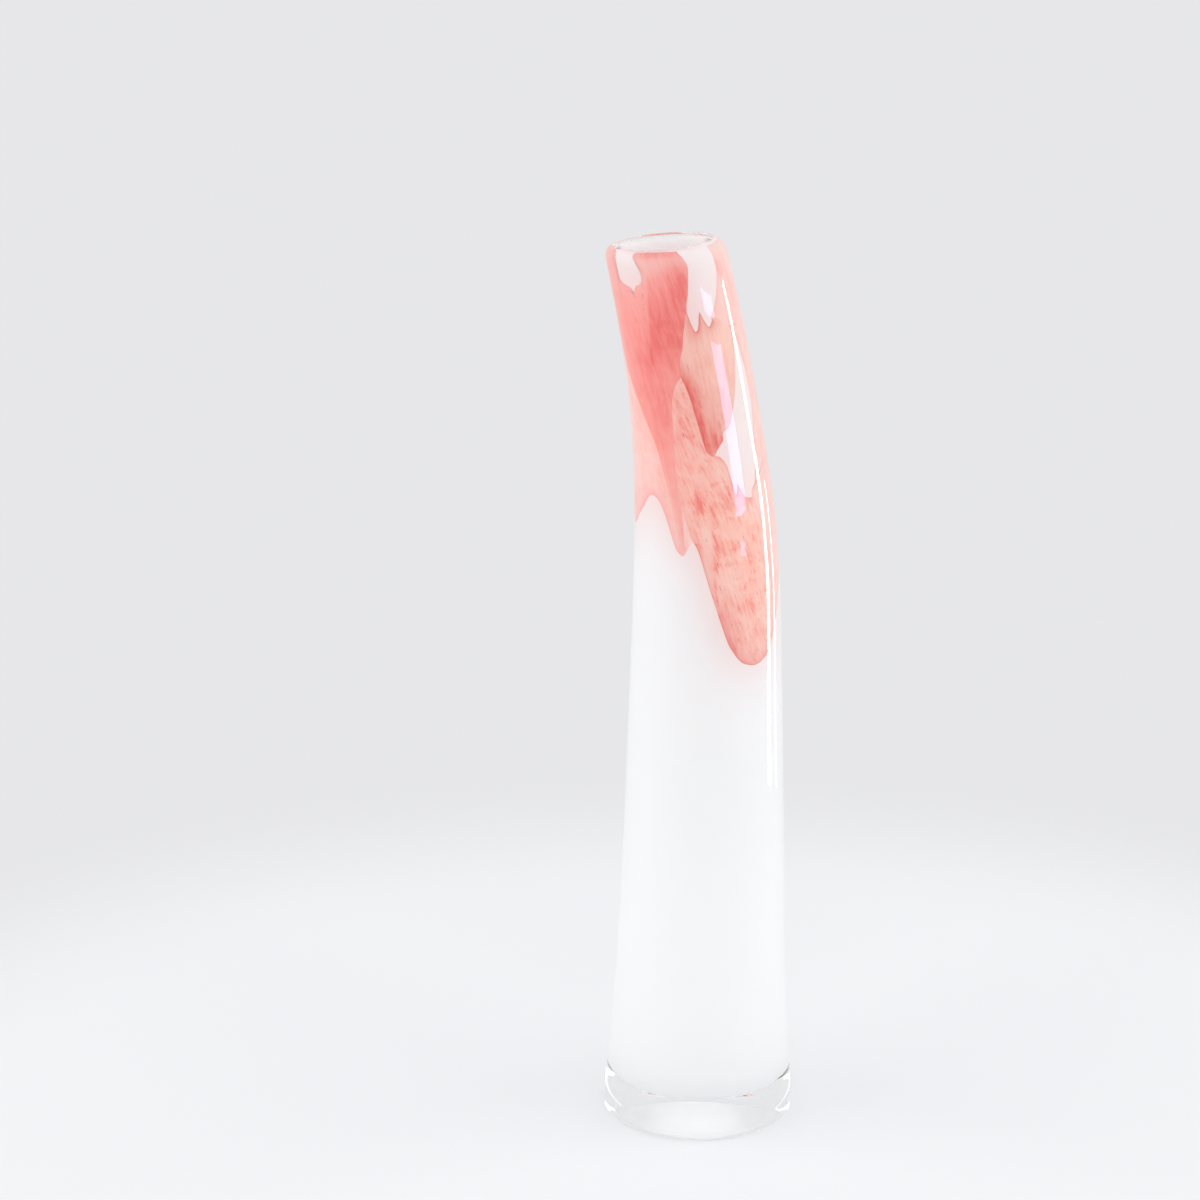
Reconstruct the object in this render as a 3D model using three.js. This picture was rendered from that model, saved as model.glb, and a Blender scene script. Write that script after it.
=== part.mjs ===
// A tall hand blown vase. A bubble of white opal glass stands inside a thick clear casing, and eight
// thin shards of coral glass lie between the two. The neck bends towards -X.
// Millimetres, +Z up, with the origin at the middle of the ring that the vase stands on.
// Angles run round the vase in degrees, from 0 at the front (-Y) towards +X.

import * as THREE from 'three';

// Outline of the casing: a straight taper, a flare at the foot and a narrower neck
const RADIUS_AT_FOOT = 40.3;
const TAPER = 0.0325;
const FLARE = 2.6;
const FLARE_REACH = 53;
const NECK_IN = 1.6;
const NECK_IN_FROM = 250;
const NECK_IN_TO = 340;

// The axis: a slight lean to +X, then a bend to -X on a large arc
const LEAN = 2.4;
const BEND_FROM = 236;
const BEND_RADIUS = 658;

// The lip, a rounded crest on a plane that falls towards -X
const RIM_HEIGHT = 398;
const RIM_TILT = 5;
const TILT_FROM = 330;
const CREST_RADIUS = 22.2;
const MOUTH_RADIUS = 19.8;
const LIP_HEIGHT_OUTSIDE = 6;
const LIP_HEIGHT_INSIDE = 3;

// The solid foot, pushed up from below in a smooth hill
const HEEL = 1.8;
const HOLLOW_RADIUS = 35;
const HOLLOW_DEPTH = 6;
const HOLLOW_STEPS = 7;
const FOOT_THICKNESS = 14;
const LINING_CORNER_HEIGHT = 14;

// Layers of the wall, measured inwards from the outside of the casing
const LINING_DEPTH_LOW = 5;
const LINING_DEPTH_HIGH = 3.1;
const LINING_RISES_FROM = 30;
const LINING_RISES_TO = 200;
const LINING_WALL = 1.9;
const LINING_FLOOR = 2.6;
const SKIN = 1.5;
const SHARDS_FROM = 208;
const SHARD_THICKNESS = 0.8;
const GAP = 0.4;
const SHARD_TOP = 391;
const BEAD_WIDTH = 1.1;
const BEAD_HEIGHT = 5;

// Fineness: rows are close together where the outline curves and far apart where it is straight
const SEGMENTS = 40;
const ARC_STEPS = 4;
const CORNER_STEPS = 5;
const LIP_STEPS = 6;
const LIP_ARC_END = 60;
const FLARE_STEP = 15;
const FLARE_ROWS_FROM = 14;
const FLARE_ROWS_TO = 74;
const STRAIGHT_STEP = 42;
const STRAIGHT_ROWS_FROM = 110;
const BEND_STEP = 22;
const ROW_GAP = 12;
const STEP_IN = 4;
const BEAD_SLOPE = 1;

const CLEAR_ROUGHNESS = 0.03;
const CLEAR_OPACITY = 0.35;
const OPAL_ROUGHNESS = 0.12;
const CORAL_ROUGHNESS = 0.1;

const COLOURS = {
  clear: 0xeef4f4,
  opal: 0xf4f3f1,
  coralDense: 0xf07f7a,
  coralPale: 0xffc4b8,
  coralGrey: 0xe6aa9c,
  coralTongue: 0xf9b3a5,
};

function smoothStep(value, from, to) {
  return THREE.MathUtils.smoothstep(value, from, to);
}

// Radius of the outside of the casing at a height
function outerRadius(height) {
  const flare = FLARE * Math.exp(-((height / FLARE_REACH) ** 2));
  const neck = NECK_IN * smoothStep(height, NECK_IN_FROM, NECK_IN_TO);
  return RADIUS_AT_FOOT - TAPER * height + flare - neck;
}

// Sideways place of the axis at a height
function axisOffset(height) {
  const along = Math.min(height / BEND_FROM, 1);
  const lean = LEAN * Math.sin((along * Math.PI) / 2);
  const above = Math.max(height - BEND_FROM, 0);
  return lean - above ** 2 / (2 * BEND_RADIUS);
}

// A point at a distance from the bent axis, lifted with the tilt of the rim
function wallPoint(radius, angle, height) {
  const turn = THREE.MathUtils.degToRad(angle);
  const side = radius * Math.sin(turn);
  const slope = Math.tan(THREE.MathUtils.degToRad(RIM_TILT));
  const lift = side * slope * smoothStep(height, TILT_FROM, RIM_HEIGHT);
  return new THREE.Vector3(axisOffset(height) + side, -radius * Math.cos(turn), height + lift);
}

// Depth of the lining's outer face below the outside of the casing
function liningDepth(height) {
  const thinning = LINING_DEPTH_LOW - LINING_DEPTH_HIGH;
  return LINING_DEPTH_LOW - thinning * smoothStep(height, LINING_RISES_FROM, LINING_RISES_TO);
}

function liningRadius(height) {
  return outerRadius(height) - liningDepth(height);
}

// Evenly spaced heights, both ends included
function heights(from, to, step) {
  const count = Math.ceil(Math.abs(to - from) / step);
  return Array.from({ length: count + 1 }, (_, i) => from + ((to - from) * i) / count);
}

// Part of an ellipse in a profile, from one angle to another in degrees
function arc(centreRadius, centreHeight, width, height, from, to, steps = ARC_STEPS) {
  return Array.from({ length: steps + 1 }, (_, i) => {
    const turn = THREE.MathUtils.degToRad(from + ((to - from) * i) / steps);
    return [centreRadius + width * Math.cos(turn), centreHeight + height * Math.sin(turn)];
  });
}

// A closed solid from a profile of [radius, height] that starts and ends on the axis
function turnedSolid(profile) {
  const positions = [];
  const indices = [];
  const rings = profile.slice(1, -1);
  const pushPoint = (point) => positions.push(point.x, point.y, point.z);
  rings.forEach(([radius, height]) => {
    for (let i = 0; i < SEGMENTS; i += 1) {
      pushPoint(wallPoint(radius, (360 * i) / SEGMENTS, height));
    }
  });
  const firstPole = rings.length * SEGMENTS;
  pushPoint(wallPoint(0, 0, profile[0][1]));
  pushPoint(wallPoint(0, 0, profile[profile.length - 1][1]));
  for (let i = 0; i < SEGMENTS; i += 1) {
    const next = (i + 1) % SEGMENTS;
    const last = (rings.length - 1) * SEGMENTS;
    indices.push(firstPole, next, i);
    indices.push(firstPole + 1, last + i, last + next);
    for (let ring = 0; ring < rings.length - 1; ring += 1) {
      const low = ring * SEGMENTS;
      const high = low + SEGMENTS;
      indices.push(low + i, low + next, high + next);
      indices.push(low + i, high + next, high + i);
    }
  }
  return bufferSolid(positions, indices);
}

function bufferSolid(positions, indices) {
  const geometry = new THREE.BufferGeometry();
  geometry.setAttribute('position', new THREE.Float32BufferAttribute(positions, 3));
  geometry.setIndex(indices);
  geometry.computeVertexNormals();
  return geometry;
}

// The rounded bottom corner shared by the lining and the hollow that it stands in
function roundedBottom(floor, grow) {
  const top = floor + LINING_CORNER_HEIGHT;
  const width = liningRadius(top) + grow;
  const flat = width - LINING_CORNER_HEIGHT;
  return arc(flat, top, LINING_CORNER_HEIGHT, LINING_CORNER_HEIGHT, -90, 0, CORNER_STEPS);
}

// One hump of a cosine, from the axis out to the ring that the vase stands on
function hollowProfile() {
  return Array.from({ length: HOLLOW_STEPS + 1 }, (_, i) => {
    const along = i / HOLLOW_STEPS;
    return [HOLLOW_RADIUS * along, (HOLLOW_DEPTH * (1 + Math.cos(Math.PI * along))) / 2];
  });
}

function casingSolid() {
  const foot = outerRadius(HEEL);
  const hollow = hollowProfile();
  const heel = arc(foot - HEEL, HEEL, HEEL, HEEL, -90, 0);
  const lipStart = RIM_HEIGHT - LIP_HEIGHT_OUTSIDE;
  const lipWidth = outerRadius(lipStart) - CREST_RADIUS;
  const lip = arc(CREST_RADIUS, lipStart, lipWidth, LIP_HEIGHT_OUTSIDE, 0, LIP_ARC_END);
  const outside = [
    ...heights(FLARE_ROWS_FROM, FLARE_ROWS_TO, FLARE_STEP),
    ...heights(STRAIGHT_ROWS_FROM, BEND_FROM - BEND_STEP, STRAIGHT_STEP),
    ...heights(BEND_FROM, lipStart - ROW_GAP, BEND_STEP),
  ].map((height) => [outerRadius(height), height]);
  const insideHigh = heights(lipStart, SHARDS_FROM, BEND_STEP).map((height) => [
    outerRadius(height) - SKIN,
    height,
  ]);
  const bottomTop = FOOT_THICKNESS - GAP + LINING_CORNER_HEIGHT;
  const insideLow = heights(SHARDS_FROM - STEP_IN, bottomTop + ROW_GAP, STRAIGHT_STEP).map((height) => [
    liningRadius(height) + GAP,
    height,
  ]);
  const bottom = roundedBottom(FOOT_THICKNESS - GAP, GAP).reverse();
  return turnedSolid([
    ...hollow,
    ...heel,
    ...outside,
    ...lip,
    ...insideHigh,
    ...insideLow,
    ...bottom,
    [0, FOOT_THICKNESS - GAP],
  ]);
}

function liningSolid() {
  const beadTop = RIM_HEIGHT - LIP_HEIGHT_INSIDE;
  const beadFoot = RIM_HEIGHT - BEAD_HEIGHT;
  const beadRadius = liningRadius(beadFoot) + BEAD_WIDTH;
  const cornerTop = FOOT_THICKNESS + LINING_CORNER_HEIGHT;
  const outside = [
    ...heights(cornerTop + ROW_GAP, SHARDS_FROM - STEP_IN, STRAIGHT_STEP),
    ...heights(SHARDS_FROM + BEND_STEP, beadFoot, BEND_STEP),
  ].map((height) => [liningRadius(height), height]);
  const lip = arc(
    (MOUTH_RADIUS + beadRadius) / 2,
    beadTop,
    (beadRadius - MOUTH_RADIUS) / 2,
    LIP_HEIGHT_INSIDE,
    0,
    180,
    LIP_STEPS,
  );
  const inside = [
    ...heights(beadFoot - ROW_GAP, SHARDS_FROM, BEND_STEP),
    ...heights(SHARDS_FROM - STRAIGHT_STEP, cornerTop + ROW_GAP, STRAIGHT_STEP),
  ].map((height) => [liningRadius(height) - LINING_WALL, height]);
  const innerFloor = FOOT_THICKNESS + LINING_FLOOR;
  const innerCorner = LINING_CORNER_HEIGHT - LINING_FLOOR;
  const innerWidth = liningRadius(cornerTop) - LINING_WALL;
  const innerBottom = arc(innerWidth - innerCorner, cornerTop, innerCorner, innerCorner, 0, -90, CORNER_STEPS);
  return turnedSolid([
    [0, FOOT_THICKNESS],
    ...roundedBottom(FOOT_THICKNESS, 0),
    ...outside,
    [beadRadius, beadFoot + BEAD_SLOPE],
    ...lip,
    ...inside,
    ...innerBottom,
    [0, innerFloor],
  ]);
}

// A shard's outline is four edges of [angle, height] points. The bottom and top edges run from left
// to right and the side edges run upwards. The inside is a Coons blend of the four.
function coonsPoint(edges, u, v) {
  const bottom = edges.bottom.getPointAt(u);
  const top = edges.top.getPointAt(u);
  const left = edges.left.getPointAt(v);
  const right = edges.right.getPointAt(v);
  const lowCorners = edges.bottom.getPointAt(0).lerp(edges.bottom.getPointAt(1), u);
  const highCorners = edges.top.getPointAt(0).lerp(edges.top.getPointAt(1), u);
  const corners = lowCorners.lerp(highCorners, v);
  return bottom.lerp(top, v).add(left.lerp(right, u)).sub(corners);
}

function edgeCurve(points) {
  return new THREE.SplineCurve(points.map(([angle, height]) => new THREE.Vector2(angle, height)));
}

// A thin curved plate between the lining and the skin of the casing
function shardSolid(outline, columns, rows) {
  const edges = {
    bottom: edgeCurve(outline.bottom),
    top: edgeCurve(outline.top),
    left: edgeCurve(outline.left),
    right: edgeCurve(outline.right),
  };
  const positions = [];
  const indices = [];
  const wide = columns + 1;
  const layer = wide * (rows + 1);
  [GAP, GAP + SHARD_THICKNESS].forEach((rise) => {
    for (let row = 0; row <= rows; row += 1) {
      for (let column = 0; column <= columns; column += 1) {
        const spot = coonsPoint(edges, column / columns, row / rows);
        const point = wallPoint(liningRadius(spot.y) + rise, spot.x, spot.y);
        positions.push(point.x, point.y, point.z);
      }
    }
  });
  const quad = (a, b, c, d) => indices.push(a, b, c, a, c, d);
  for (let row = 0; row < rows; row += 1) {
    for (let column = 0; column < columns; column += 1) {
      const corner = row * wide + column;
      quad(corner, corner + wide, corner + wide + 1, corner + 1);
      quad(layer + corner, layer + corner + 1, layer + corner + wide + 1, layer + corner + wide);
    }
  }
  const wall = (from, to) => quad(from, to, layer + to, layer + from);
  for (let column = 0; column < columns; column += 1) {
    wall(column, column + 1);
    wall(rows * wide + column + 1, rows * wide + column);
  }
  for (let row = 0; row < rows; row += 1) {
    wall((row + 1) * wide, row * wide);
    wall(row * wide + columns, (row + 1) * wide + columns);
  }
  return bufferSolid(positions, indices);
}

const WEDGE = {
  left: [[-24, 269], [-32, 291], [-44, 312], [-60, 332], [-80, 352], [-104, 367], [-104, SHARD_TOP]],
  bottom: [[-24, 269], [-20, 266]],
  right: [[-20, 266], [-16, 281], [-8, 303], [-2, 326], [-3, 340], [-8, 350], [5, 371], [15, 383], [12, SHARD_TOP]],
  top: [[-104, SHARD_TOP], [-68, SHARD_TOP], [-58, 384], [-45, 379], [-32, 385], [-26, SHARD_TOP], [12, SHARD_TOP]],
};

const VEIL = {
  left: [[-104, 288], [-104, 362]],
  bottom: [[-104, 288], [-92, 279], [-82, 275], [-70, 281], [-53, 291], [-42, 287], [-34, 276], [-27, 267]],
  right: [[-27, 267], [-27, 269]],
  top: [[-104, 362], [-80, 347], [-60, 327], [-45, 307], [-34, 286], [-27, 269]],
};

const PATCH_MID = {
  left: [[9, 312], [3, 324], [2, 338], [-3, 348], [2, 361], [9, 370]],
  bottom: [[9, 312], [17, 313]],
  right: [[17, 313], [24, 318], [34, 324], [44, 336], [51, 349], [55, 360]],
  top: [[9, 370], [13, 363], [20, 370], [28, 365], [36, 367], [55, 360]],
};

const TONGUE = {
  left: [[35, 216], [24, 220], [15, 228], [7, 240], [-1, 254], [-12, 271], [-11, 284], [-5, 303], [3, 320]],
  bottom: [[35, 216], [46, 217]],
  right: [[46, 217], [55, 221], [58, 235], [56, 260], [46, 290]],
  top: [[3, 320], [12, 309], [22, 306], [29, 293], [36, 294], [46, 290]],
};

const FLANK = {
  left: [[60, 223], [62, 240], [58, 265], [50, 290], [57, 305], [66, 330], [60, 362], [40, 372], [52, 386], [54, SHARD_TOP]],
  bottom: [[60, 223], [71, 236], [87, 257], [100, 269], [116, 276]],
  right: [[116, 276], [116, SHARD_TOP]],
  top: [[54, SHARD_TOP], [116, SHARD_TOP]],
};

const BACK_RIGHT = {
  left: [[120, 276], [120, SHARD_TOP]],
  bottom: [[120, 276], [130, 258], [141, 245], [152, 252]],
  right: [[152, 252], [157, 290], [152, 350], [148, SHARD_TOP]],
  top: [[120, SHARD_TOP], [148, SHARD_TOP]],
};

const BACK_MIDDLE = {
  left: [[158, 262], [162, 290], [157, 350], [160, 366]],
  bottom: [[158, 262], [170, 236], [182, 229], [194, 244], [203, 276]],
  right: [[203, 276], [206, 320], [200, 360], [204, SHARD_TOP]],
  top: [[160, 366], [172, 360], [182, 372], [190, SHARD_TOP], [204, SHARD_TOP]],
};

const BACK_LEFT = {
  left: [[208, 286], [211, 320], [205, 360], [209, SHARD_TOP]],
  bottom: [[208, 286], [218, 266], [230, 260], [240, 276], [252, 290]],
  right: [[252, 290], [252, SHARD_TOP]],
  top: [[209, SHARD_TOP], [252, SHARD_TOP]],
};

function glassMaterial(colour, roughness) {
  return new THREE.MeshStandardMaterial({ color: colour, roughness, metalness: 0 });
}

function clearGlass() {
  const material = glassMaterial(COLOURS.clear, CLEAR_ROUGHNESS);
  material.transparent = true;
  material.opacity = CLEAR_OPACITY;
  return material;
}

function piece(name, geometry, material) {
  const mesh = new THREE.Mesh(geometry, material);
  mesh.name = name;
  return mesh;
}

const vase = new THREE.Group();
vase.add(piece('clear_casing', casingSolid(), clearGlass()));
vase.add(piece('opal_lining', liningSolid(), glassMaterial(COLOURS.opal, OPAL_ROUGHNESS)));

// Name, outline, colour, and how many columns and rows of quads each shard is made of
const SHARDS = [
  ['coral_wedge_front', WEDGE, COLOURS.coralDense, 14, 14],
  ['coral_veil_left', VEIL, COLOURS.coralPale, 12, 6],
  ['coral_patch_mid', PATCH_MID, COLOURS.coralGrey, 8, 8],
  ['coral_tongue_front', TONGUE, COLOURS.coralTongue, 10, 8],
  ['coral_flank_right', FLANK, COLOURS.coralPale, 8, 14],
  ['coral_drape_back_right', BACK_RIGHT, COLOURS.coralTongue, 6, 10],
  ['coral_drape_back_middle', BACK_MIDDLE, COLOURS.coralDense, 8, 10],
  ['coral_drape_back_left', BACK_LEFT, COLOURS.coralPale, 8, 8],
];
SHARDS.forEach(([name, outline, colour, columns, rows]) => {
  vase.add(piece(name, shardSolid(outline, columns, rows), glassMaterial(colour, CORAL_ROUGHNESS)));
});

export default vase;
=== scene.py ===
import math

import bpy
import numpy as np
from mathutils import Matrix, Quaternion, Vector


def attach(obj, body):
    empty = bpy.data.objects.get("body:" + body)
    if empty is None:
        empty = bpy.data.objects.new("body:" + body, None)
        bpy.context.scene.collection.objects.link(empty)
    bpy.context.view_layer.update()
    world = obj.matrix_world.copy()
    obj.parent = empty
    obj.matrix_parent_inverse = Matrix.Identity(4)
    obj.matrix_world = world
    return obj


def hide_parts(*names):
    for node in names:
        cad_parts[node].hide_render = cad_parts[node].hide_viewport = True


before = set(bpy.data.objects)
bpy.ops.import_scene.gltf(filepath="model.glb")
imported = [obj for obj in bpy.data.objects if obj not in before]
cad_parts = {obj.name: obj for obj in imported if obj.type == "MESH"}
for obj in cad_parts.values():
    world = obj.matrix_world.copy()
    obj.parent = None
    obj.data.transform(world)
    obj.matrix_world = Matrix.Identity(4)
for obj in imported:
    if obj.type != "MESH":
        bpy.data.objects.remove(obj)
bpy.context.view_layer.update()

# Everything is worked out in millimetres, and MM turns it into metres as it goes into a mesh.
# Angles run round the vase in degrees, from 0 at the front (-Y) towards +X.
MM = 0.001

# ---------------------------------------------------------------- the blown form

# Outside of the casing: a straight taper, a flare at the foot and a narrower neck
RADIUS_AT_FOOT = 40.3
TAPER = 0.0325
FLARE = 2.6
FLARE_REACH = 53
NECK_IN = 1.6
NECK_IN_FROM = 250
NECK_IN_TO = 340

# The axis leans to +X, then bends to -X on a large arc
LEAN = 2.4
BEND_FROM = 236
BEND_RADIUS = 658

# The lip, a rounded crest on a plane that falls towards -X
RIM_HEIGHT = 398
RIM_TILT = 5
TILT_FROM = 330
CREST_RADIUS = 22.2
MOUTH_RADIUS = 19.8
LIP_HEIGHT_OUTSIDE = 6
LINING_CREST = 396.4
LINING_CREST_RADIUS = 21.0
LINING_LIP_HEIGHT = 6

# The solid foot, pushed up from below in a smooth hill where the pontil was polished away
HEEL = 1.8
HOLLOW_RADIUS = 35
HOLLOW_DEPTH = 6
FOOT_THICKNESS = 14
CORNER_HEIGHT = 14

# The lining's outer face lies this far under the outside of the casing
LINING_DEPTH_LOW = 5
LINING_DEPTH_HIGH = 3.1
LINING_RISES_FROM = 30
LINING_RISES_TO = 200
LINING_WALL = 1.9
LINING_FLOOR = 2.6

# Below the lip the bore widens by this much for each millimetre down, and the casing's inner face faster
BORE_SLOPE = 0.04
SHOULDER_SLOPE = 0.4

# Glass fuses where it meets, so the casing's own inner face is buried this deep in the lining
FUSED = 0.9

# Points round each ring, and millimetres between rings up the wall
COLUMNS = 240
RISE_STEP = 2.5
SHOULDER_STEP = 4


def smooth_step(value, low, high):
    """0 below low, 1 above high, and 3t^2 - 2t^3 between."""
    t = np.clip((value - low) / (high - low), 0, 1)
    return t * t * (3 - 2 * t)


def outer_radius(height):
    """Taper line, plus a bell curve at the foot, less a smooth step at the neck."""
    flare = FLARE * np.exp(-((height / FLARE_REACH) ** 2))
    neck = NECK_IN * smooth_step(height, NECK_IN_FROM, NECK_IN_TO)
    return RADIUS_AT_FOOT - TAPER * height + flare - neck


def axis_offset(height):
    """A quarter sine of lean, then a parabola that stands for the bend's arc."""
    lean = LEAN * np.sin(np.clip(height / BEND_FROM, 0, 1) * np.pi / 2)
    above = np.maximum(height - BEND_FROM, 0)
    return lean - above ** 2 / (2 * BEND_RADIUS)


def wall_points(radius, angle, height):
    """Points at a distance from the bent axis, lifted with the tilt of the rim. Returns (..., 3)."""
    turn = np.radians(angle)
    side = radius * np.sin(turn)
    lift = side * math.tan(math.radians(RIM_TILT)) * smooth_step(height, TILT_FROM, RIM_HEIGHT)
    across = axis_offset(height) + side
    return np.stack(np.broadcast_arrays(across, -radius * np.cos(turn), height + lift), -1)


def lining_radius(height):
    """The outside of the casing, less the clear glass over the lining, which thins up the wall."""
    thinning = LINING_DEPTH_LOW - LINING_DEPTH_HIGH
    rise = smooth_step(height, LINING_RISES_FROM, LINING_RISES_TO)
    return outer_radius(height) - LINING_DEPTH_LOW + thinning * rise


def lining_face(height):
    """Radius of the lining's outer face, which rolls in over the lip as a quarter ellipse."""
    start = LINING_CREST - LINING_LIP_HEIGHT
    rise = np.clip((height - start) / LINING_LIP_HEIGHT, 0, 1)
    straight_part = lining_radius(np.minimum(height, start))
    return LINING_CREST_RADIUS + (straight_part - LINING_CREST_RADIUS) * np.sqrt(1 - rise ** 2)


def hand_waves(angle, height):
    """How far hot glass sagged under the tools: a few slow sine waves, in millimetres."""
    turn = np.radians(angle)
    slow = 0.14 * np.sin(2 * turn + height / 47 + 0.6)
    mid = 0.07 * np.sin(3 * turn - height / 26 + 1.9)
    fine = 0.03 * np.sin(5 * turn + height / 11)
    fade = smooth_step(height, 20, 60) * (1 - smooth_step(height, RIM_HEIGHT - 14, RIM_HEIGHT - 4))
    return (slow + mid + fine) * fade


def arc(centre_radius, centre_height, width, height, start, end, count):
    """Part of an ellipse in a profile, as arrays of radius and height, angles in degrees."""
    turn = np.radians(np.linspace(start, end, count))
    return centre_radius + width * np.cos(turn), centre_height + height * np.sin(turn)


def straight(radius_of, low, high, step=RISE_STEP):
    """A run of the profile where radius is a function of height."""
    heights = np.linspace(low, high, max(2, round(abs(high - low) / step)))
    return radius_of(heights), heights


def joined(*runs):
    """One profile from several runs, without the points that repeat."""
    radius = np.concatenate([np.atleast_1d(r) for r, _ in runs]).astype(float)
    height = np.concatenate([np.atleast_1d(h) for _, h in runs]).astype(float)
    moved = np.hypot(np.diff(radius), np.diff(height)) > 1e-6
    keep = np.concatenate([[True], moved])
    return radius[keep], height[keep]


def turned_back(run):
    """The same run of the profile, walked the other way."""
    return run[0][::-1], run[1][::-1]


# ---------------------------------------------------------------- meshes

def mesh_object(name, points, faces, smooth=True):
    """A mesh object at the origin from points in millimetres and faces as index rows."""
    mesh = bpy.data.meshes.new(name)
    mesh.from_pydata((points * MM).tolist(), [], faces)
    mesh.polygons.foreach_set("use_smooth", np.full(len(mesh.polygons), smooth))
    mesh.update()
    made = bpy.data.objects.new(name, mesh)
    bpy.context.scene.collection.objects.link(made)
    return made


def turned_solid(name, profile, waves=None):
    """Rings of points round the bent axis, one for each profile point between two poles on the axis.
    waves adds to the radius, as a function of angle and height, on rings wider than the lip's crest."""
    radius, height = profile
    angles = np.arange(COLUMNS) * 360 / COLUMNS
    ring_radius = radius[1:-1, None] * np.ones(COLUMNS)
    ring_height = height[1:-1, None] * np.ones(COLUMNS)
    if waves is not None:
        ring_radius = ring_radius + waves(angles[None, :], ring_height) * (ring_radius > CREST_RADIUS)
    rings = wall_points(ring_radius, angles[None, :], ring_height).reshape(-1, 3)
    poles = np.stack([wall_points(0.0, 0.0, height[0]), wall_points(0.0, 0.0, height[-1])])
    points = np.concatenate([rings, poles])
    index = np.arange(len(rings)).reshape(-1, COLUMNS)
    after = np.roll(index, -1, axis=1)
    quads = np.stack([index[:-1], after[:-1], after[1:], index[1:]], -1).reshape(-1, 4)
    first, last = len(rings), len(rings) + 1
    start = [(first, int(b), int(a)) for a, b in zip(index[0], after[0])]
    end = [(last, int(a), int(b)) for a, b in zip(index[-1], after[-1])]
    return mesh_object(name, points, quads.tolist() + start + end)


def round_bottom(depth, floor, corner, count=24):
    """From the axis along a flat floor and round a quarter circle up to the wall."""
    top = FOOT_THICKNESS + CORNER_HEIGHT
    width = lining_radius(top) - depth
    flat = (np.linspace(0, width - corner, 14)[:-1], np.full(13, float(floor)))
    return joined(flat, arc(width - corner, floor + corner, corner, corner, -90, 0, count))


def clear_casing():
    """One closed profile: hollow as one hump of a cosine, ground ring, rounded heel, wall,
    lip as a quarter ellipse, then back down inside the lining's wall and across its floor."""
    foot = outer_radius(HEEL)
    across = np.linspace(0, HOLLOW_RADIUS, 60)
    hollow = (across, HOLLOW_DEPTH * (1 + np.cos(np.pi * across / HOLLOW_RADIUS)) / 2)
    ring = (np.linspace(HOLLOW_RADIUS, foot - HEEL, 14), np.zeros(14))
    heel = arc(foot - HEEL, HEEL, HEEL, HEEL, -90, 0, 10)
    lip_start = RIM_HEIGHT - LIP_HEIGHT_OUTSIDE
    outside = straight(outer_radius, HEEL, lip_start)
    lip_width = outer_radius(lip_start) - CREST_RADIUS
    lip = arc(CREST_RADIUS, lip_start, lip_width, LIP_HEIGHT_OUTSIDE, 0, 90, 20)
    lip_end = MOUTH_RADIUS + FUSED
    turn_in = arc(CREST_RADIUS, lip_start, CREST_RADIUS - lip_end, LIP_HEIGHT_OUTSIDE, 90, 180, 14)

    def shoulder(height):
        """Under the lining's outer face, or a straight slope out from the lip where that is narrower."""
        widening = lip_end + (lip_start - height) * SHOULDER_SLOPE
        return np.minimum(lining_radius(height) - FUSED, widening)

    inside = straight(shoulder, lip_start, FOOT_THICKNESS + CORNER_HEIGHT, SHOULDER_STEP)
    bottom = round_bottom(FUSED, FOOT_THICKNESS + FUSED, CORNER_HEIGHT - FUSED)
    profile = joined(hollow, ring, heel, outside, lip, turn_in, inside, turned_back(bottom))
    return turned_solid("clear_casing_glass", profile, hand_waves)


def opal_lining():
    """Outside up from a rounded bottom, two quarter ellipses over the lip, and down the inside. The
    faces past the crest, which meet the air, take the second material."""
    cup_top = FOOT_THICKNESS + CORNER_HEIGHT
    mouth = LINING_CREST - LINING_LIP_HEIGHT
    outside = straight(lining_radius, cup_top, mouth)
    out_width = lining_radius(mouth) - LINING_CREST_RADIUS
    lip_out = arc(LINING_CREST_RADIUS, mouth, out_width, LINING_LIP_HEIGHT, 0, 90, 12)
    in_width = LINING_CREST_RADIUS - MOUTH_RADIUS
    lip_in = arc(LINING_CREST_RADIUS, mouth, in_width, LINING_LIP_HEIGHT, 90, 180, 12)

    def bore(height):
        """The lining's outside less its wall, or a slight slope out from the mouth where narrower."""
        widening = MOUTH_RADIUS + (mouth - height) * BORE_SLOPE
        return np.minimum(lining_radius(height) - LINING_WALL, widening)

    inside = straight(bore, mouth, cup_top)
    bottom = round_bottom(0, FOOT_THICKNESS, CORNER_HEIGHT)
    inner_bottom = round_bottom(LINING_WALL, FOOT_THICKNESS + LINING_FLOOR, CORNER_HEIGHT - LINING_FLOOR)
    profile = joined(bottom, outside, lip_out, lip_in, inside, turned_back(inner_bottom))
    made = turned_solid("opal_lining_glass", profile)
    bands = np.arange(len(profile[0]) - 3)
    past_crest = np.repeat(bands >= np.argmax(profile[1]), COLUMNS)
    outer_pole, inner_pole = np.zeros(COLUMNS, bool), np.ones(COLUMNS, bool)
    bare = np.concatenate([past_crest, outer_pole, inner_pole])
    made.data.polygons.foreach_set("material_index", bare.astype(np.int32))
    return made


# ---------------------------------------------------------------- the coral shards

# A shard stands this proud of the lining, falls away over this width at its edge, and lies sunk in the
# lining by this much at the edge and by its belly more in the middle
SHARD_THICKNESS = 0.4
SHARD_ROUNDING = 2.4
SHARD_SUNK = 0.15
SHARD_BELLY = 0.2

# The front shards run up to the lip, and the drapes behind end below it
SHARD_TOP = LINING_CREST - 0.3
BACK_TOP = LINING_CREST - 14

# The fine line of colour along an edge, and its share of the colour that gathers there
LINE_WIDTH = 0.5
LINE_SHARE = 0.35

# A fold's step of colour is this many degrees wide to each side
FOLD_STEP = 1.2

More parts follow.
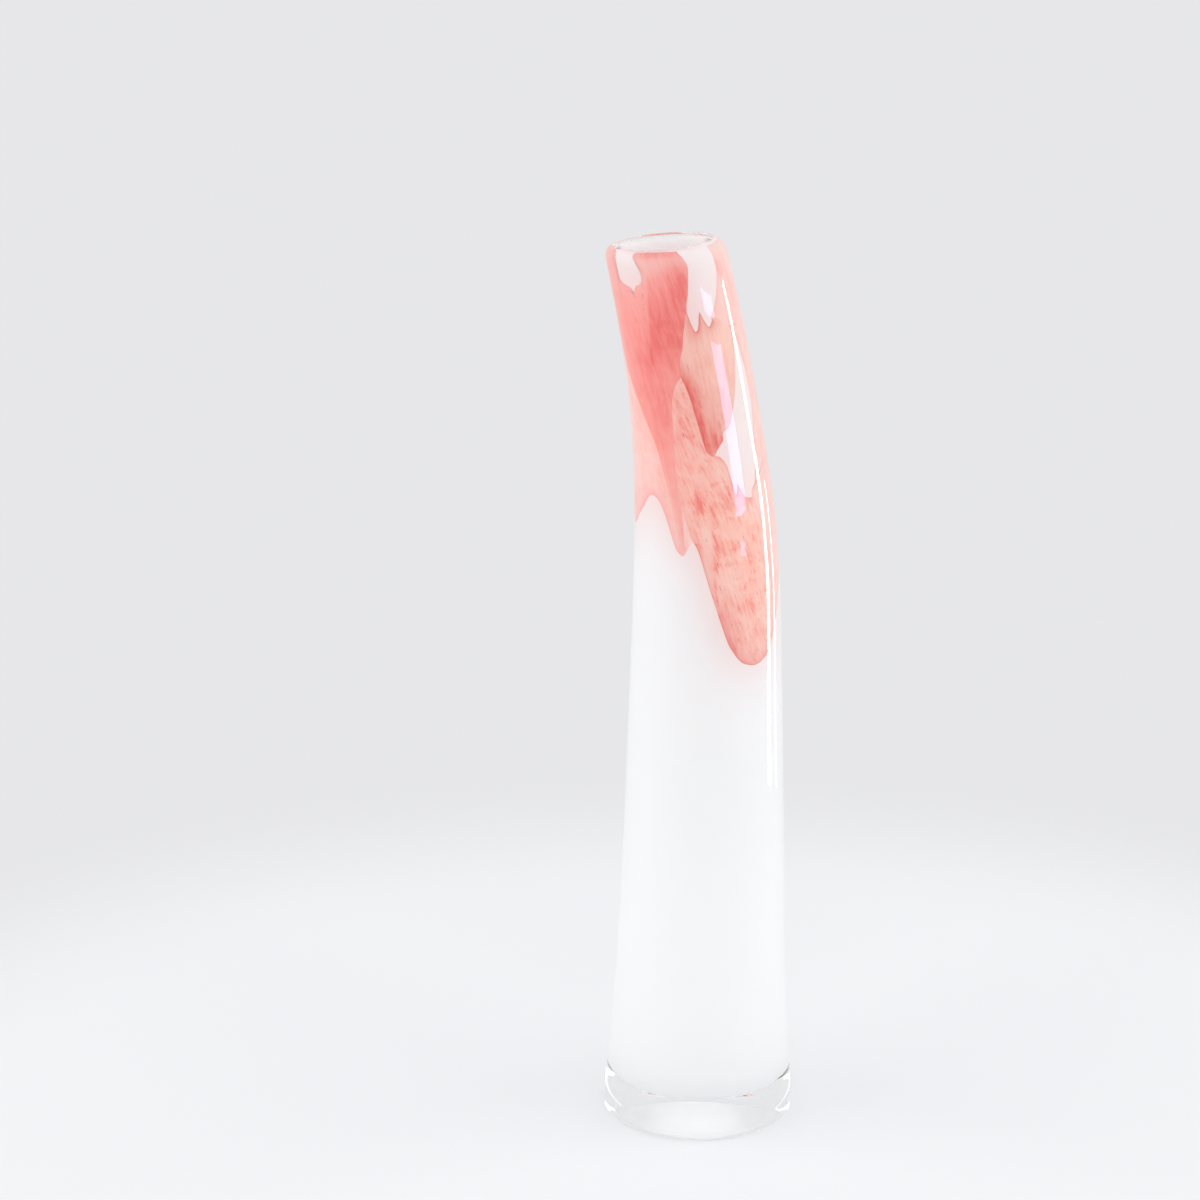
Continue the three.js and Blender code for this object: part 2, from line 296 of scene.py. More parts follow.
# One degree round the neck in millimetres, near enough to space points evenly along an outline
DEGREE_MM = 0.45
STEPS_A_SPAN = 24

# One unit of the Flow map, in millimetres of glass
FLOW_UNIT = 100


def curve_through(points, count):
    """A Catmull-Rom curve through given points, sampled at even steps of its length."""
    placed = np.array(points, float)
    ends = np.concatenate([[2 * placed[0] - placed[1]], placed, [2 * placed[-1] - placed[-2]]])
    t = np.linspace(0, 1, STEPS_A_SPAN, endpoint=False)[:, None]
    spans = [0.5 * (2 * b + (c - a) * t + (2 * a - 5 * b + 4 * c - d) * t ** 2
                    + (3 * b - a - 3 * c + d) * t ** 3)
             for a, b, c, d in zip(ends, ends[1:], ends[2:], ends[3:])]
    fine = np.concatenate(spans + [placed[-1:]])
    steps = np.diff(fine, axis=0) * [DEGREE_MM, 1]
    length = np.concatenate([[0], np.cumsum(np.hypot(*steps.T))])
    where = count if np.ndim(count) else np.linspace(0, 1, count)
    return np.stack([np.interp(where * length[-1], length, fine[:, k]) for k in (0, 1)], -1)


def unrolled(spots):
    """Angle and height to millimetres along the wall."""
    return np.stack([np.radians(spots[..., 0]) * lining_radius(spots[..., 1]), spots[..., 1]], -1)


def edge_distance(spots, outline):
    """Distance of each spot from the nearest point of the outline, in millimetres."""
    there = unrolled(outline)
    here = unrolled(spots).reshape(-1, 2)
    nearest = [np.hypot(*(part[:, None, :] - there[None]).transpose(2, 0, 1)).min(1)
               for part in np.array_split(here, max(1, len(here) // 4000))]
    return np.concatenate(nearest).reshape(spots.shape[:-1])


def coons_grid(edges, across, up):
    """Blends four edges: v between bottom and top, plus u between left and right, less the corners."""
    u = (1 - np.cos(np.linspace(0, np.pi, across))) / 2
    v = (1 - np.cos(np.linspace(0, np.pi, up))) / 2
    u = 0.5 * u + 0.5 * np.linspace(0, 1, across)
    v = 0.5 * v + 0.5 * np.linspace(0, 1, up)
    bottom, top = (curve_through(edges[side], u)[None] for side in ("bottom", "top"))
    left, right = (curve_through(edges[side], v)[:, None] for side in ("left", "right"))
    u, v = u[None, :, None], v[:, None, None]
    corners = (1 - v) * ((1 - u) * bottom[:, :1] + u * bottom[:, -1:]) \
        + v * ((1 - u) * top[:, :1] + u * top[:, -1:])
    return (1 - v) * bottom + v * top + (1 - u) * left + u * right - corners


def thick_glass(spots, swells, folds):
    """Sum of soft round swells of colour, each (angle, height, half width, half height, amount), and of
    folds, where the glass lies double on the right of a line: (angle, height, angle, height, amount)."""
    angle, height = spots[..., 0], spots[..., 1]
    total = np.zeros(angle.shape)
    for at_angle, at_height, wide, tall, amount in swells:
        total += amount * np.exp(-((angle - at_angle) / wide) ** 2 - ((height - at_height) / tall) ** 2)
    for low_angle, low, high_angle, high, amount in folds:
        line = low_angle + (high_angle - low_angle) * (height - low) / (high - low)
        ends = smooth_step(height, low - 8, low + 8) * (1 - smooth_step(height, high - 6, high + 2))
        total += amount * ends * smooth_step(angle - line, -FOLD_STEP, FOLD_STEP)
    return total


def gathered_colour(spots, rims):
    """Colour that gathered along parts of the outline, each (points, strength, reach in mm): a fine line
    as a bell curve of the distance, over an exponential fade inwards. The strongest one counts."""
    total = np.zeros(spots.shape[:-1])
    for points, strength, reach in rims:
        distance = edge_distance(spots, curve_through(points, 60 * len(points)))
        line = LINE_SHARE * np.exp(-((distance / LINE_WIDTH) ** 2))
        total = np.maximum(total, strength * (line + (1 - LINE_SHARE) * np.exp(-distance / reach)))
    return total


def shard(name, edges, layer, lean, swells, folds, rims, across=110, up=150):
    """A thin lens of glass on the lining: a Coons grid of its outline, its outer face falling in a
    parabola at the edge, its inner face sunk a little into the lining. Carries its own flow lines as a
    UV map, and its thickness of colour and the colour gathered at its edge as attributes."""
    spots = coons_grid(edges, across, up)
    outline = np.concatenate([spots[0], spots[:, -1], spots[-1][::-1], spots[::-1, 0]])
    distance = edge_distance(spots, outline)
    swell = 1 - (1 - np.clip(distance / SHARD_ROUNDING, 0, 1)) ** 2
    base = lining_face(spots[..., 1])
    outer = wall_points(base - SHARD_SUNK + (SHARD_SUNK + SHARD_THICKNESS + layer) * swell,
                        spots[..., 0], spots[..., 1]).reshape(-1, 3)
    inner = wall_points(base - SHARD_SUNK - SHARD_BELLY * swell, spots[..., 0], spots[..., 1])
    index = np.arange(up * across).reshape(up, across)
    back = np.full((up, across), -1)
    back[0], back[-1], back[:, 0], back[:, -1] = index[0], index[-1], index[:, 0], index[:, -1]
    inside = np.arange((up - 2) * (across - 2)).reshape(up - 2, across - 2) + index.size
    back[1:-1, 1:-1] = inside
    faces = [quads_of(index), quads_of(back)[:, ::-1]]
    points = np.concatenate([outer, inner[1:-1, 1:-1].reshape(-1, 3)])
    made = mesh_object(name, points, np.concatenate(faces).tolist())
    number_attribute(made, "edge", on_both_faces(gathered_colour(spots, rims)))
    number_attribute(made, "colour_depth", on_both_faces(thick_glass(spots, swells, folds)))
    flat = unrolled(spots)
    flow_map(made, on_both_faces(flat[..., 0] + lean * flat[..., 1]), on_both_faces(flat[..., 1]))
    return made


def on_both_faces(values):
    """A grid of values for the outer face, then its inside again for the inner face."""
    return np.concatenate([values.reshape(-1), values[1:-1, 1:-1].reshape(-1)])


def quads_of(index):
    """The four corners of each cell in a grid of point numbers."""
    return np.stack([index[:-1, :-1], index[:-1, 1:], index[1:, 1:], index[1:, :-1]], -1).reshape(-1, 4)


def number_attribute(made, name, values):
    """One number for each point of the mesh, which a material reads by its name."""
    made.data.attributes.new(name, "FLOAT", "POINT").data.foreach_set("value", values.astype(np.float32))


def flow_map(made, along, up):
    """A UV map of the glass laid flat, at FLOW_UNIT millimetres to one unit."""
    corner = np.empty(len(made.data.loops), np.int32)
    made.data.loops.foreach_get("vertex_index", corner)
    values = np.stack([along, up], -1)[corner] / FLOW_UNIT
    made.data.uv_layers.new(name="Flow").data.foreach_set("uv", values.astype(np.float32).ravel())


# Outlines as [angle, height] from left to right and from the bottom up
WEDGE = {
    "left": [(-24, 268), (-27, 277), (-32, 290), (-43.5, 312), (-61, 329), (-75, 341), (-90, 356),
             (-112, 372), (-116, SHARD_TOP)],
    "bottom": [(-24, 268), (-21.5, 266), (-18.5, 267.5)],
    "right": [(-18.5, 267.5), (-19, 283), (-22.5, 300), (-21.5, 317), (-18.5, 334), (-7.5, 345),
              (-5, 350.5), (0, 356), (3.5, 362.6), (8, 370.5), (10, 375), (13, 378.3), (17, 385),
              (19.3, 390), (16.5, 393.4), (11.5, SHARD_TOP)],
    "top": [(-116, SHARD_TOP), (-67, SHARD_TOP), (-64, 393.5), (-62.5, 389.5), (-60, 385.5), (-52, 383.3),
            (-46, 382.4), (-44, 380.3), (-40.5, 382.6), (-38, 383.6), (-34, 384), (-31, 386.3), (-30, 389),
            (-31.5, 392.5), (-35, SHARD_TOP), (11.5, SHARD_TOP)],
}

VEIL = {
    "left": [(-114, 290), (-116, 330), (-114, 378)],
    "bottom": [(-114, 290), (-104, 286), (-94, 280), (-87, 276), (-82, 275.3), (-77, 277.5), (-71, 281),
               (-64, 284.5), (-58.5, 288.3), (-53, 290.6), (-47, 290.2), (-41, 286.8), (-36, 281),
               (-32, 274.8), (-27.5, 268.4), (-22, 265.6)],
    "right": [(-22, 265.6), (-17.5, 268.4), (-13.5, 272.6), (-14, 281)],
    "top": [(-114, 378), (-86, 362), (-62, 342), (-44, 324), (-30, 304), (-14, 281)],
}

TONGUE = {
    "left": [(36, 216.6), (29, 218), (23.5, 220.6), (18.5, 224.5), (14.5, 228.6), (7, 240.4), (-0.8, 254),
             (-7.5, 267), (-11, 271.5), (-14, 273.8), (-17.5, 279), (-22, 286), (-27, 300), (-26, 318),
             (-24, 334), (-16, 346)],
    "bottom": [(36, 216.6), (40, 216.3), (46, 217)],
    "right": [(46, 217), (53, 219.2), (60, 223), (64, 240), (60, 270), (47, 290.6)],
    "top": [(-16, 346), (-6, 341), (2, 325), (6, 314), (10, 310.6), (17, 309.8), (22.7, 306.2),
            (25.8, 299.5), (29.3, 292.6), (31.4, 297.6), (35.6, 293.6), (40, 290.9), (47, 290.6)],
}

PATCH_MID = {
    "left": [(9, 309.6), (4.4, 312.2), (1.5, 318), (-0.5, 324), (-2.8, 330.5), (-5, 337), (-8.5, 343),
             (-11, 349), (-10, 355), (-6, 361), (0, 367), (5, 376)],
    "bottom": [(9, 309.6), (12.5, 309.4), (16.8, 312.6)],
    "right": [(16.8, 312.6), (20.5, 314.6), (23.3, 316.4), (24.8, 319.8), (30.6, 321.3), (36, 326),
              (44.6, 336.8), (51, 348), (56.5, 361)],
    "top": [(5, 376), (8.2, 371.5), (10.6, 366), (13.1, 363), (16.4, 365), (18.8, 369), (20.7, 371.2),
            (23.3, 367.9), (27.4, 364.6), (31.3, 366.2), (36, 370.4), (56.5, 361)],
}

FLANK = {
    "left": [(60, 223), (63, 240), (59, 268), (46, 290.4), (51, 295.6), (55, 304), (59.5, 316), (66, 331),
             (64, 347), (56, 361.5), (46, 362), (31.5, 364.8), (36.8, 371.2), (44.4, 378), (51, 386),
             (51.6, 391), (48.5, SHARD_TOP)],
    "bottom": [(60, 223), (65.5, 229.5), (70.5, 236), (77, 246), (86.7, 256.7), (98, 266), (110, 273),
               (122, 275)],
    "right": [(122, 275), (124, 330), (122, SHARD_TOP)],
    "top": [(48.5, SHARD_TOP), (122, SHARD_TOP)],
}

BACK_RIGHT = {
    "left": [(116, 275), (114, 330), (116, BACK_TOP)],
    "bottom": [(116, 275), (124, 268), (131, 256), (137, 247), (143, 244.5), (149, 248), (154, 258)],
    "right": [(154, 258), (158, 290), (155, 345), (150, 370), (143, BACK_TOP)],
    "top": [(116, BACK_TOP), (143, BACK_TOP)],
}

BACK_MIDDLE = {
    "left": [(152, 262), (155, 290), (152, 340), (154, 362)],
    "bottom": [(152, 262), (160, 250), (168, 237), (175, 229), (182, 227), (189, 233), (196, 247),
               (203, 262), (209, 280)],
    "right": [(209, 280), (211, 320), (207, 360), (206, BACK_TOP)],
    "top": [(154, 362), (162, 357), (168, 354), (173, 360), (178, 368), (183, 376), (186, BACK_TOP),
            (206, BACK_TOP)],
}

BACK_LEFT = {
    "left": [(203, 284), (205, 320), (200, 360), (201, BACK_TOP)],
    "bottom": [(203, 284), (210, 275), (218, 264), (225, 259), (231, 263), (238, 274), (244, 284),
               (251, 288)],
    "right": [(251, 288), (250, 330), (250, BACK_TOP)],
    "top": [(201, BACK_TOP), (250, BACK_TOP)],
}


# ---------------------------------------------------------------- materials

GLASS_IOR = 1.52
CRUMB_COLOUR = "#cc7462"

# Clouds in the opal and in the coral, across one cloud
OPAL_CLOUD_MM = 71.43
CORAL_CLOUD_MM = 6.667

# A streak is this many times as long as it is wide, and a crumb this share of a streak's size
STREAK_LENGTH = 8
CRUMB_SHARE = 1 / 3


def linear(hex_colour):
    """An sRGB hex colour as the linear RGBA that shaders read."""
    parts = [int(hex_colour[i:i + 2], 16) / 255 for i in (1, 3, 5)]
    return [c / 12.92 if c <= 0.04045 else ((c + 0.055) / 1.055) ** 2.4 for c in parts] + [1.0]


def add(tree, kind, inputs=None, **settings):
    """Adds a node, sets its properties, then fills or links its inputs by name or number."""
    made = tree.nodes.new("ShaderNode" + kind)
    for name, value in settings.items():
        setattr(made, name, value)
    for name, value in (inputs or {}).items():
        if isinstance(value, bpy.types.NodeSocket):
            tree.links.new(value, made.inputs[name])
        else:
            made.inputs[name].default_value = value
    return made


def new_material(name):
    """An empty node material with its output, ready for a surface."""
    made = bpy.data.materials.new(name)
    made.use_nodes = True
    made.node_tree.nodes.clear()
    return made, made.node_tree


def finish_surface(tree, shader):
    """Links the shader to the material's output."""
    add(tree, "OutputMaterial", {"Surface": shader.outputs[0]})


def blown_clear_glass():
    """Clear soda-lime crystal, blown and fire polished: no grain at all, mirror-smooth and see-through."""
    made, tree = new_material("blown_clear_glass")
    shader = add(tree, "BsdfPrincipled", {
        "Base Color": linear("#fdfefe"),
        "Roughness": 0.0,
        "IOR": GLASS_IOR,
        "Transmission Weight": 1.0,
    })
    finish_surface(tree, shader)
    return made


def opal_colour(tree):
    """White opal in soft clouds of a warmer and a cooler white, with a painted pink glow beside the coral
    that stands in for coral light scattered into the opal.
    """
    painted_coral_glow = add(tree, "Attribute", attribute_name="painted_coral_glow")
    place = add(tree, "TexCoord")
    cloud = add(tree, "TexNoise", {"Vector": place.outputs["Object"], "Scale": 1 / (OPAL_CLOUD_MM * MM),
                                   "Detail": 2.0})
    white = add(tree, "Mix", {"Factor": cloud.outputs[0], 6: linear("#fcfbfa"), 7: linear("#f9fafb")},
                data_type="RGBA")
    # Painted light: the lining is mixed towards pink where coral light would scatter into it
    return add(tree, "Mix", {"Factor": painted_coral_glow.outputs["Fac"], 6: white.outputs[2], 7: linear("#fbdad5")},
               data_type="RGBA").outputs[2]


def cased_opal_glass():
    """Opal glass fused under the casing: milky and even, with no polish of its own to catch the light."""
    made, tree = new_material("cased_opal_glass")
    shader = add(tree, "BsdfPrincipled", {
        "Base Color": opal_colour(tree),
        "Roughness": 0.6,
        "IOR": GLASS_IOR,
        "Specular IOR Level": 0.0,
    })
    finish_surface(tree, shader)
    return made


def bare_opal_glass():
    """The same opal where it meets the air, inside the mouth: milky under a glassy, fire-polished skin.
    Its pink tint is painted light, standing for coral light that shines through the thin wall.
    """
    made, tree = new_material("bare_opal_glass")
    shader = add(tree, "BsdfPrincipled", {
        # Painted light: the white opal is tinted pink for coral light shining through the wall
        "Base Color": linear("#fff1f1"),
        "Roughness": 0.08,
        "IOR": GLASS_IOR,
        "Subsurface Weight": 1.0,
        "Subsurface Radius": (1.0, 0.9, 0.88),
        "Subsurface Scale": 16 * MM,
    })
    finish_surface(tree, shader)
    return made


def coral_glass(name, pale, body, deep, edge, streak_mm, streaks, clouds, specks):
    """Coral glass shards melted flat: the colour is deep where the glass is thick and pale where it was
    stretched, it runs in streaks along the pull and lies in clouds, it gathers in a darker line round
    the edge, and crumbs of unmelted colour lie in it as specks."""
    made, tree = new_material(name)
    flow = add(tree, "UVMap", uv_map="Flow")
    pulled = add(tree, "Mapping", {"Vector": flow.outputs[0],
                                   "Scale": (FLOW_UNIT / streak_mm,
                                             FLOW_UNIT / (streak_mm * STREAK_LENGTH), 1.0)})
    drawn = add(tree, "TexNoise", {"Vector": pulled.outputs[0], "Scale": 1.0, "Detail": 6.0,
                                   "Roughness": 0.65, "Distortion": 0.6})
    cloudy = add(tree, "TexNoise", {"Vector": flow.outputs[0], "Scale": FLOW_UNIT / CORAL_CLOUD_MM,
                                    "Detail": 3.0, "Distortion": 0.8})
    depth = add(tree, "Attribute", attribute_name="colour_depth")
    stretch = add(tree, "MapRange", {"Value": drawn.outputs[0], "From Min": 0.3, "From Max": 0.7,
                                     "To Min": -streaks, "To Max": streaks})
    puff = add(tree, "MapRange", {"Value": cloudy.outputs[0], "From Min": 0.3, "From Max": 0.7,
                                  "To Min": -clouds, "To Max": clouds})
    both = add(tree, "Math", {0: stretch.outputs[0], 1: puff.outputs[0]}, operation="ADD")
    total = add(tree, "Math", {0: both.outputs[0], 1: depth.outputs["Fac"]}, operation="ADD")
    ramp = add(tree, "ValToRGB", {"Fac": total.outputs[0]})
    ramp.color_ramp.elements[0].color = linear(pale)
    ramp.color_ramp.elements[1].color = linear(deep)
    ramp.color_ramp.elements.new(0.5).color = linear(body)
    gathered = add(tree, "Attribute", attribute_name="edge")
    rimmed = add(tree, "Mix", {"Factor": gathered.outputs["Fac"], 6: ramp.outputs[0], 7: linear(edge)},
                 data_type="RGBA")
    crumbs = add(tree, "TexNoise", {"Vector": pulled.outputs[0], "Scale": 1 / CRUMB_SHARE, "Detail": 1.0})
    speck = add(tree, "MapRange", {"Value": crumbs.outputs[0], "From Min": 0.68, "From Max": 0.74,
                                   "To Min": 0.0, "To Max": specks})
    colour = add(tree, "Mix", {"Factor": speck.outputs[0], 6: rimmed.outputs[2], 7: linear(CRUMB_COLOUR)},
                 data_type="RGBA")
    shader = add(tree, "BsdfPrincipled", {
        "Base Color": colour.outputs[2],
        "Roughness": 0.5,
        "IOR": GLASS_IOR,
        "Specular IOR Level": 0.0,
    })
    finish_surface(tree, shader)
    return made


def dense_coral_glass():
    """Thick melted coral, even and deep, with soft wide streaks and hardly a crumb."""
    return coral_glass("dense_coral_glass", pale="#ffd4cc", body="#ffbcb6", deep="#f58e89", edge="#f28d88",
                       streak_mm=1.8, streaks=0.22, clouds=0.1, specks=0.1)


def pale_coral_glass():
    """Coral stretched thin over the opal, so the white shows through it as a pale pink."""
    return coral_glass("pale_coral_glass", pale="#ffece8", body="#ffdfd7", deep="#fec0b8", edge="#fab2ac",
                       streak_mm=2.4, streaks=0.3, clouds=0.2, specks=0.1)


def grey_coral_glass():
    """Coral that greyed in the flame, with fine streaks and a dark, dense lower end."""
    return coral_glass("grey_coral_glass", pale="#fee6db", body="#f9cdc1", deep="#ec7a75", edge="#ea7570",
                       streak_mm=1.3, streaks=0.3, clouds=0.12, specks=0.35)


def speckled_coral_glass():
    """Coral rolled on in grains that never melted evenly: blotchy, streaked and full of crumbs."""
    return coral_glass("speckled_coral_glass", pale="#ffe9e0", body="#ffd6ca", deep="#f69b92",
                       edge="#f19089", streak_mm=1.4, streaks=0.45, clouds=0.28, specks=0.8)


# ---------------------------------------------------------------- the stage, the lights and the camera

CAMERA_SIDE = -44.6
CAMERA_AWAY = 1330
CAMERA_HEIGHT = 607
CAMERA_DOWN = 15.46
LENS = 94.1

FLOOR_DROP = 0.3
FLOOR_CENTRE = (0, -80)
FLOOR_FADES_FROM = 340
FLOOR_RADIUS = 560
BACKDROP_GREY = "#e7e7e9"

# The panels aim at this height on the axis, and the window's light is tinted
LIGHTS_AIM = 300
WINDOW_TINT = "#e8b8ff"


def aimed_camera():
    """A long lens in front and a little to the left, looking down on the vase."""
    camera = bpy.data.cameras.new("camera")
    camera.sensor_width = 36
    camera.lens = LENS
    camera.clip_start = 0.05
    made = bpy.data.objects.new("camera", camera)
    made.location = Vector((CAMERA_SIDE, -CAMERA_AWAY, CAMERA_HEIGHT)) * MM
    made.rotation_euler = (math.radians(90 - CAMERA_DOWN), 0, 0)
    bpy.context.scene.collection.objects.link(made)
    bpy.context.scene.camera = made


def paper_floor():
    """Matt white paper under the vase that fades into the backdrop's grey all round."""
    made, tree = new_material("matt_white_paper")
    place = add(tree, "TexCoord")
    middle = (FLOOR_CENTRE[0] * MM, FLOOR_CENTRE[1] * MM, 0)
    away = add(tree, "VectorMath", {0: place.outputs["Object"], 1: middle}, operation="DISTANCE")
    fade = add(tree, "MapRange", {"Value": away.outputs["Value"], "From Min": FLOOR_FADES_FROM * MM,
                                  "From Max": FLOOR_RADIUS * MM}, interpolation_type="SMOOTHSTEP")
    paper = add(tree, "BsdfPrincipled", {"Base Color": linear("#f5f6f7"), "Roughness": 0.9,
                                         "Specular IOR Level": 0.1})
    far = add(tree, "Emission", {"Color": linear(BACKDROP_GREY), "Strength": 1.0})
    mixed = add(tree, "MixShader", {0: fade.outputs[0], 1: paper.outputs[0], 2: far.outputs[0]})
    finish_surface(tree, mixed)
    turn = np.arange(128) * 2 * np.pi / 128
    rim = np.stack([FLOOR_CENTRE[0] + FLOOR_RADIUS * np.cos(turn),
                    FLOOR_CENTRE[1] + FLOOR_RADIUS * np.sin(turn),
                    np.full(128, -FLOOR_DROP)], -1)
    floor = mesh_object("paper_floor", rim, [list(range(128))], smooth=False)
    floor.data.materials.append(made)


def backdrop():
    """Even grey studio light from all round."""
    world = bpy.data.worlds.new("studio")
    world.use_nodes = True
    world.node_tree.nodes["Background"].inputs["Color"].default_value = linear(BACKDROP_GREY)
    bpy.context.scene.world = world


def panel(name, place, width, height, watts, colour="#ffffff", shines=False, roll=0.0):
    """A rectangular light that faces the vase, sized in millimetres and rolled in degrees. It either
    lights softly and shows in no reflection, or it is a bright shape that only shines on the glass."""
    light = bpy.data.lights.new(name, "AREA")
    light.shape = "RECTANGLE"
    light.size = width * MM
    light.size_y = height * MM
    light.energy = watts
    light.color = linear(colour)[:3]
    made = bpy.data.objects.new(name, light)
    towards = Vector((0, 0, LIGHTS_AIM)) - Vector(place)
    made.location = Vector(place) * MM
    aimed = towards.to_track_quat("-Z", "Y") @ Quaternion((0, 0, 1), math.radians(roll))
    made.rotation_euler = aimed.to_euler()
    made.visible_glossy = shines
    made.visible_diffuse = not shines
    made.visible_transmission = not shines
    bpy.context.scene.collection.objects.link(made)


def around(azimuth, distance, height):
    """A place round the vase: azimuth 0 is in front, 90 on the right."""
    turn = math.radians(azimuth)
    return (distance * math.sin(turn), -distance * math.cos(turn), height)


def studio_lights():
    """Three soft boxes for the light, then a strip pair and a window in three panes for the shine."""
    panel("soft_box_left", around(-80, 1600, 700), 2200, 1800, 10)
    panel("soft_box_right", around(80, 1600, 700), 2200, 1800, 10)
    panel("soft_box_front", around(10, 1700, 1200), 1500, 1200, 1.8)
    panel("strip_right", around(107, 1600, -50), 200, 1110, 8.5, shines=True)
    panel("strip_far_right", around(125, 1600, -235), 70, 730, 1.7, shines=True)
    panel("window_middle", around(61.5, 1800, 274), 620, 255, 3.6, colour=WINDOW_TINT, shines=True, roll=2)
    panel("window_top", around(60, 1800, 470), 560, 43, 0.56, colour=WINDOW_TINT, shines=True, roll=2)
    panel("window_low", around(59, 1800, 52), 300, 45, 0.26, colour=WINDOW_TINT, shines=True)


def colour_handling():
    """Plain colours, and enough bounces for light to pass through the casing and back out."""
    scene = bpy.context.scene
    scene.view_settings.view_transform = "Standard"
    scene.view_settings.look = "None"
    cycles = scene.cycles
    cycles.max_bounces = 48
    cycles.diffuse_bounces = 16
    cycles.glossy_bounces = 32
    cycles.transmission_bounces = 32
    cycles.blur_glossy = 0
    cycles.sample_clamp_indirect = 20


# ---------------------------------------------------------------- the assembly

def paint_coral_glow(made):
    """How much painted coral glow each point of the lining gets, standing in for coral light that scatters
    into the opal: two exponential fades with the distance from the lower edges of the shards, a stronger
    short one and a weaker long one."""
    count = len(made.data.vertices)
    places = np.empty(count * 3, np.float32)
    made.data.vertices.foreach_get("co", places)
    places = places.reshape(-1, 3) / MM
    across = places[:, 0] - axis_offset(places[:, 2])
    spots = np.stack([np.degrees(np.arctan2(across, -places[:, 1])), places[:, 2]], -1)
    lower_edges = np.concatenate([curve_through(points, 160) for points in (
        VEIL["bottom"], TONGUE["left"][:10], TONGUE["bottom"], TONGUE["right"][:3], FLANK["bottom"],
        BACK_RIGHT["bottom"], BACK_MIDDLE["bottom"], BACK_LEFT["bottom"])])
    lower_edges[:, 0] = (lower_edges[:, 0] + 180) % 360 - 180
    distance = edge_distance(spots, lower_edges)
    # Painted glow of coral light, strongest just below the shards' lower edges
    painted_glow = 0.05 * np.exp(-distance / 7) + 0.03 * np.exp(-distance / 35)
    number_attribute(made, "painted_coral_glow", painted_glow)


casing = clear_casing()
casing.data.materials.append(blown_clear_glass())

lining = opal_lining()
lining.data.materials.append(cased_opal_glass())
lining.data.materials.append(bare_opal_glass())
paint_coral_glow(lining)

GLASSES = {
    "coral_dense": dense_coral_glass(),
    "coral_pale": pale_coral_glass(),
    "coral_grey": grey_coral_glass(),
    "coral_speckled": speckled_coral_glass(),
}

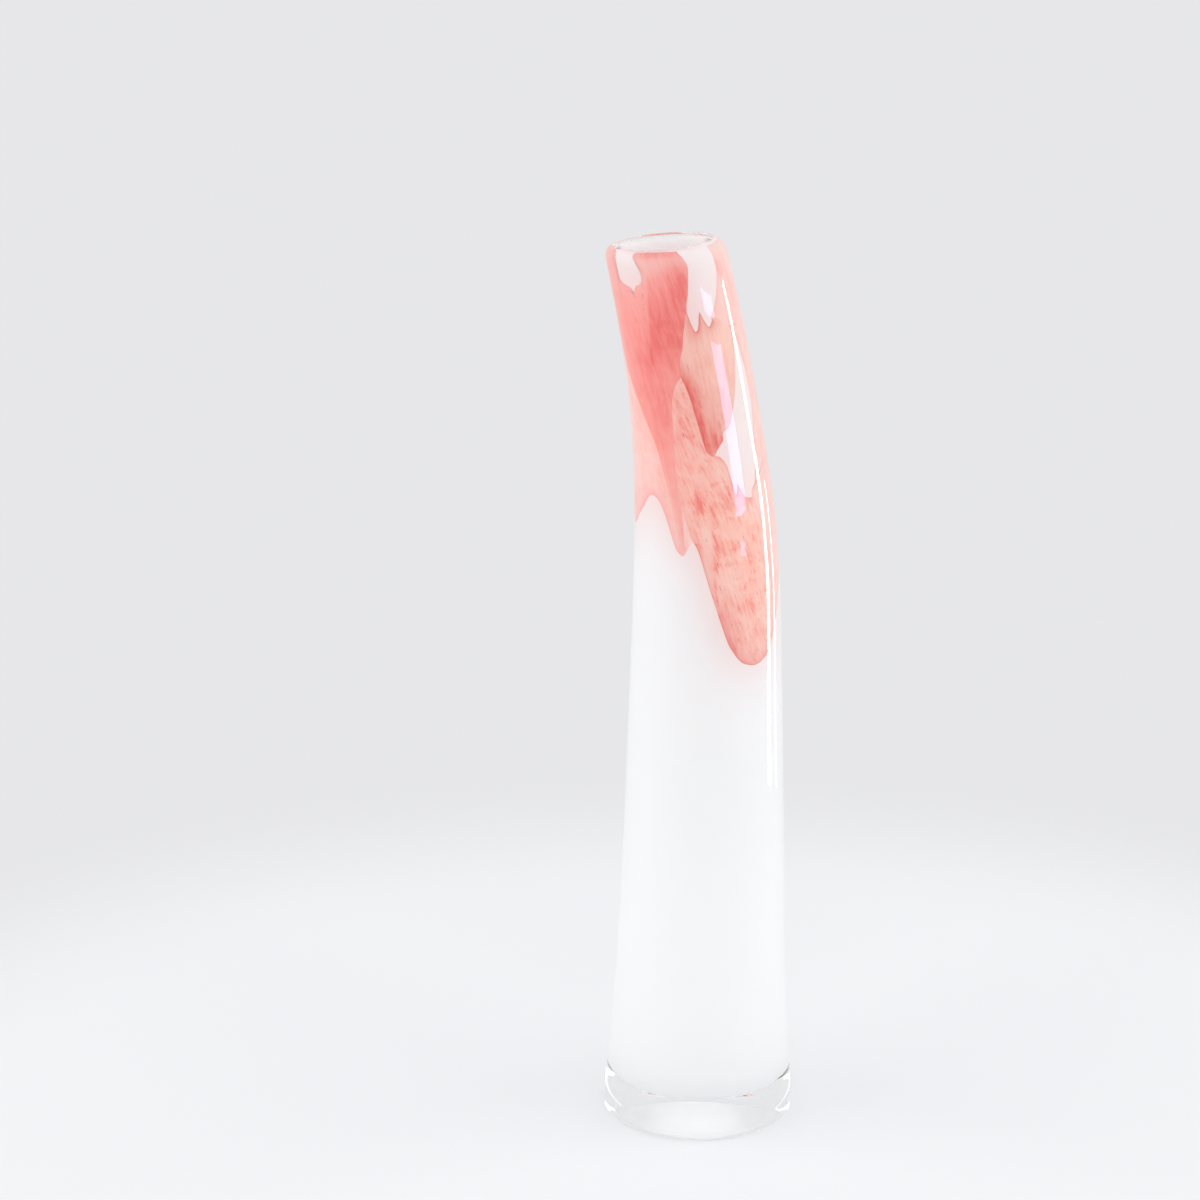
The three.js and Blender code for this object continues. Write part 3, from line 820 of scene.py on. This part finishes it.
# Node, outline, layer in mm, lean of its streaks and slot, then the swells of colour, the folds, and
# the parts of the outline where the colour gathered
SHARDS = [
    ("coral_veil_left", VEIL, 0.0, 0.1, "coral_pale",
     [(-60, 330, 60, 40, 0.4), (-34, 292, 14, 24, 0.3), (-90, 285, 30, 10, 0.4), (-22, 269, 5, 5, 0.8)],
     [],
     [(VEIL["bottom"], 1.15, 3.0)]),
    ("coral_wedge_front", WEDGE, 0.6, 0.12, "coral_dense",
     [(-90, 350, 60, 60, 0.34), (-40, 330, 50, 50, 0.3), (2, 372, 16, 26, 0.4), (-10, 345, 16, 14, 0.15),
      (-33, 332, 12, 20, 0.22), (-14, 390, 20, 4.5, -0.45), (8, 386, 8, 8, 0.3),
      (-14, 395.6, 40, 1.5, 0.6), (-38, 352, 14, 12, 0.2), (-22, 366, 10, 12, 0.15)],
     [(-36, 352, -22, 394, 0.36)],
     [(WEDGE["left"][:6], 0.2, 1.5), (WEDGE["right"][4:], 0.6, 1.5), (WEDGE["top"][2:14], 0.3, 1.2)]),
    ("coral_tongue_front", TONGUE, 0.15, 0.3, "coral_speckled",
     [(15, 280, 60, 90, 0.4), (-14, 325, 12, 24, 0.25), (-4, 289, 5, 8, 0.65), (44, 231, 7, 5, 0.3),
      (34, 244, 12, 4, 0.2), (-1, 270, 4, 14, -0.5), (6, 268, 2.5, 20, 0.35), (16, 226, 7, 5, 0.5),
      (28, 236, 6, 6, -0.15), (20, 252, 5, 10, -0.2)],
     [],
     [(TONGUE["left"][:6], 1.3, 4.5), (TONGUE["left"][5:9], 0.9, 2.5), (TONGUE["left"][8:14], 0.5, 3.0),
      (TONGUE["bottom"] + TONGUE["right"][1:3], 1.25, 4.0), (TONGUE["top"][5:], 0.8, 1.2)]),
    ("coral_patch_mid", PATCH_MID, 0.3, 0.05, "coral_grey",
     [(20, 345, 60, 60, 0.32), (18, 314, 9, 10, 0.6), (4, 320, 5, 14, 0.6), (-3, 337, 5, 9, 0.7),
      (0, 354, 5, 8, -0.5), (35, 360, 22, 14, -0.3)],
     [],
     [(PATCH_MID["left"][:7], 1.15, 3.0), (PATCH_MID["top"][:10], 0.95, 2.0),
      (PATCH_MID["right"], 0.45, 1.0)]),
    ("coral_flank_right", FLANK, 0.1, 0.1, "coral_pale",
     [(80, 320, 60, 80, 0.3), (56, 386, 20, 14, 0.45)],
     [],
     [(FLANK["bottom"], 0.7, 2.5), (FLANK["left"], 0.5, 1.0)]),
    ("coral_drape_back_right", BACK_RIGHT, 0.0, -0.1, "coral_speckled",
     [(130, 320, 40, 90, 0.4)],
     [],
     [(BACK_RIGHT["bottom"], 0.9, 3.0), (BACK_RIGHT["right"], 0.6, 1.5)]),
    ("coral_drape_back_middle", BACK_MIDDLE, 0.25, 0.1, "coral_dense",
     [(180, 320, 60, 120, 0.4), (188, 300, 14, 20, 0.3), (185, 375, 60, 40, -0.7)],
     [(176, 262, 172, 350, 0.25)],
     [(BACK_MIDDLE["bottom"], 0.8, 2.5), (BACK_MIDDLE["top"][:6], 0.5, 1.5),
      (BACK_MIDDLE["left"], 0.4, 1.5)]),
    ("coral_drape_back_left", BACK_LEFT, 0.1, -0.1, "coral_pale",
     [(225, 320, 40, 90, 0.45)],
     [],
     [(BACK_LEFT["bottom"], 0.85, 3.0)]),
]

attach(casing, "root")
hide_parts("clear_casing")
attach(lining, "root")
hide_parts("opal_lining")
for node, edges, layer, lean, slot, swells, folds, rims in SHARDS:
    piece = shard(node + "_glass", edges, layer, lean, swells, folds, rims)
    piece.data.materials.append(GLASSES[slot])
    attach(piece, "root")
    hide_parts(node)

paper_floor()
backdrop()
studio_lights()
aimed_camera()
colour_handling()
